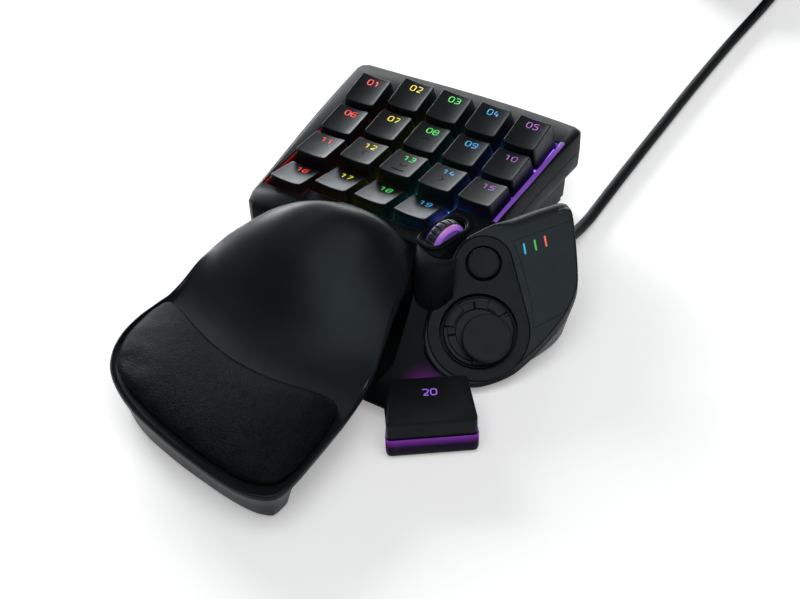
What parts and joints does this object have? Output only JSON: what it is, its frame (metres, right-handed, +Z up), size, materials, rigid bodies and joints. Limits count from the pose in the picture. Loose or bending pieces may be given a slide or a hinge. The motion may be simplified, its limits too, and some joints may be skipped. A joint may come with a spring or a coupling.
{
  "type": "gaming keypad",
  "caption": "Left-hand gaming keypad with a slanted key field, scroll wheel, thumb stick module, wide thumb key, sliding cushioned palm rest and coiled cable.",
  "frame": {"origin": "middle of the footprint of the keypad without its cable, on the table", "axes": "+X to the right, +Y from the palm rest to the far edge of the key field, +Z up"},
  "size_m": [0.1574, 0.6325, 0.0514],
  "materials": {
    "board": "solder mask",
    "cable": "tight braid",
    "glow": "translucent, lit from inside",
    "inner": "moulded",
    "keycap": "matte",
    "leather": "fine grain",
    "lens": "translucent",
    "light_amber": "lit",
    "light_blue": "lit",
    "light_green": "lit",
    "rubber": "matte",
    "shell": "soft-touch charcoal",
    "steel": "bright"
  },
  "bodies": {
    "base": {"base_plate": "inner", "cable_coil": "cable", "cable_lead": "cable", "cable_tie": "rubber", "circuit_board": "board", "foot_left": "rubber", "foot_module": "rubber", "foot_near": "rubber", "foot_right": "rubber", "guide_channel": "inner", "indicator_light_1": "light_blue", "indicator_light_2": "light_green", "indicator_light_3": "light_amber", "key_20_skirt": "glow", "keypad_bezel": "shell", "light_diffuser": "glow", "lower_tray": "shell", "main_body": "shell", "middle_shell": "shell", "module_shell": "shell", "plug_overmould": "rubber", "plug_shell": "steel", "side_panel": "shell", "strain_relief": "rubber", "switch_plate": "inner", "thumb_faceplate": "shell", "wheel_ring": "shell"},
    "wheel_carrier": {"wheel_carrier": "inner"},
    "wheel": {"wheel_tyre": "rubber", "wheel_rim": "lens", "wheel_hub": "inner"},
    "thumb_button": {"thumb_button": "shell"},
    "gimbal": {"pad_gimbal": "inner"},
    "stick": {"thumb_pad": "inner", "stick_cap": "rubber"},
    "palm_rest": {"palm_rest_shell": "shell", "palm_cushion": "leather", "palm_slider": "inner", "palm_foot_left": "rubber", "palm_foot_right": "rubber"},
    "key_01": {"key_01": "keycap"},
    "key_02": {"key_02": "keycap"},
    "key_03": {"key_03": "keycap"},
    "key_04": {"key_04": "keycap"},
    "key_05": {"key_05": "keycap"},
    "key_06": {"key_06": "keycap"},
    "key_07": {"key_07": "keycap"},
    "key_08": {"key_08": "keycap"},
    "key_09": {"key_09": "keycap"},
    "key_10": {"key_10": "keycap"},
    "key_11": {"key_11": "keycap"},
    "key_12": {"key_12": "keycap"},
    "key_13": {"key_13": "keycap"},
    "key_14": {"key_14": "keycap"},
    "key_15": {"key_15": "keycap"},
    "key_16": {"key_16": "keycap"},
    "key_17": {"key_17": "keycap"},
    "key_18": {"key_18": "keycap"},
    "key_19": {"key_19": "keycap"},
    "key_20": {"key_20": "keycap"}
  },
  "joints": [
    {"name": "key_01_press", "type": "slide", "parent": "base", "child": "key_01", "axis": [0, 0.1045, -0.9945], "range_m": [0, 0.0035], "stiffness_N_per_m": 150, "springref_m": -0.001},
    {"name": "key_02_press", "type": "slide", "parent": "base", "child": "key_02", "axis": [0, 0.1045, -0.9945], "range_m": [0, 0.0035], "stiffness_N_per_m": 150, "springref_m": -0.001},
    {"name": "key_03_press", "type": "slide", "parent": "base", "child": "key_03", "axis": [0, 0.1045, -0.9945], "range_m": [0, 0.0035], "stiffness_N_per_m": 150, "springref_m": -0.001},
    {"name": "key_04_press", "type": "slide", "parent": "base", "child": "key_04", "axis": [0, 0.1045, -0.9945], "range_m": [0, 0.0035], "stiffness_N_per_m": 150, "springref_m": -0.001},
    {"name": "key_05_press", "type": "slide", "parent": "base", "child": "key_05", "axis": [0, 0.1045, -0.9945], "range_m": [0, 0.0035], "stiffness_N_per_m": 150, "springref_m": -0.001},
    {"name": "key_06_press", "type": "slide", "parent": "base", "child": "key_06", "axis": [0, 0.1045, -0.9945], "range_m": [0, 0.0035], "stiffness_N_per_m": 150, "springref_m": -0.001},
    {"name": "key_07_press", "type": "slide", "parent": "base", "child": "key_07", "axis": [0, 0.1045, -0.9945], "range_m": [0, 0.0035], "stiffness_N_per_m": 150, "springref_m": -0.001},
    {"name": "key_08_press", "type": "slide", "parent": "base", "child": "key_08", "axis": [0, 0.1045, -0.9945], "range_m": [0, 0.0035], "stiffness_N_per_m": 150, "springref_m": -0.001},
    {"name": "key_09_press", "type": "slide", "parent": "base", "child": "key_09", "axis": [0, 0.1045, -0.9945], "range_m": [0, 0.0035], "stiffness_N_per_m": 150, "springref_m": -0.001},
    {"name": "key_10_press", "type": "slide", "parent": "base", "child": "key_10", "axis": [0, 0.1045, -0.9945], "range_m": [0, 0.0035], "stiffness_N_per_m": 150, "springref_m": -0.001},
    {"name": "key_11_press", "type": "slide", "parent": "base", "child": "key_11", "axis": [0, 0.1045, -0.9945], "range_m": [0, 0.0035], "stiffness_N_per_m": 150, "springref_m": -0.001},
    {"name": "key_12_press", "type": "slide", "parent": "base", "child": "key_12", "axis": [0, 0.1045, -0.9945], "range_m": [0, 0.0035], "stiffness_N_per_m": 150, "springref_m": -0.001},
    {"name": "key_13_press", "type": "slide", "parent": "base", "child": "key_13", "axis": [0, 0.1045, -0.9945], "range_m": [0, 0.0035], "stiffness_N_per_m": 150, "springref_m": -0.001},
    {"name": "key_14_press", "type": "slide", "parent": "base", "child": "key_14", "axis": [0, 0.1045, -0.9945], "range_m": [0, 0.0035], "stiffness_N_per_m": 150, "springref_m": -0.001},
    {"name": "key_15_press", "type": "slide", "parent": "base", "child": "key_15", "axis": [0, 0.1045, -0.9945], "range_m": [0, 0.0035], "stiffness_N_per_m": 150, "springref_m": -0.001},
    {"name": "key_16_press", "type": "slide", "parent": "base", "child": "key_16", "axis": [0, 0.1045, -0.9945], "range_m": [0, 0.0035], "stiffness_N_per_m": 150, "springref_m": -0.001},
    {"name": "key_17_press", "type": "slide", "parent": "base", "child": "key_17", "axis": [0, 0.1045, -0.9945], "range_m": [0, 0.0035], "stiffness_N_per_m": 150, "springref_m": -0.001},
    {"name": "key_18_press", "type": "slide", "parent": "base", "child": "key_18", "axis": [0, 0.1045, -0.9945], "range_m": [0, 0.0035], "stiffness_N_per_m": 150, "springref_m": -0.001},
    {"name": "key_19_press", "type": "slide", "parent": "base", "child": "key_19", "axis": [0, 0.1045, -0.9945], "range_m": [0, 0.0035], "stiffness_N_per_m": 150, "springref_m": -0.001},
    {"name": "key_20_press", "type": "slide", "parent": "base", "child": "key_20", "axis": [0, 0, -1], "range_m": [0, 0.0035], "stiffness_N_per_m": 170, "springref_m": -0.001},
    {"name": "thumb_button_press", "type": "slide", "parent": "base", "child": "thumb_button", "axis": [-0.2557, 0.4809, -0.8387], "range_m": [0, 0.0015], "stiffness_N_per_m": 400, "springref_m": -0.001},
    {"name": "wheel_click", "type": "slide", "parent": "base", "child": "wheel_carrier", "axis": [0, 0.0175, -0.9998], "range_m": [0, 0.0005], "stiffness_N_per_m": 800, "springref_m": -0.001},
    {"name": "wheel_spin", "type": "hinge", "parent": "wheel_carrier", "child": "wheel", "pos_m": [0.01827, 0.02614, 0.03229], "axis": [0.9627, -0.2706, -0.0047], "continuous": true},
    {"name": "pad_tilt_up_down", "type": "hinge", "parent": "base", "child": "gimbal", "pos_m": [0.04677, 0.00438, 0.0116], "axis": [0.8829, 0.4695, 0], "range_deg": [-6, 6], "stiffness_Nm_per_rad": 0.15},
    {"name": "pad_tilt_left_right", "type": "hinge", "parent": "gimbal", "child": "stick", "pos_m": [0.04677, 0.00438, 0.0116], "axis": [-0.3937, 0.7405, 0.5446], "range_deg": [-6, 6], "stiffness_Nm_per_rad": 0.15},
    {"name": "palm_rest_slide", "type": "slide", "parent": "base", "child": "palm_rest", "axis": [0, -1, 0], "range_m": [0, 0.01]}
  ]
}
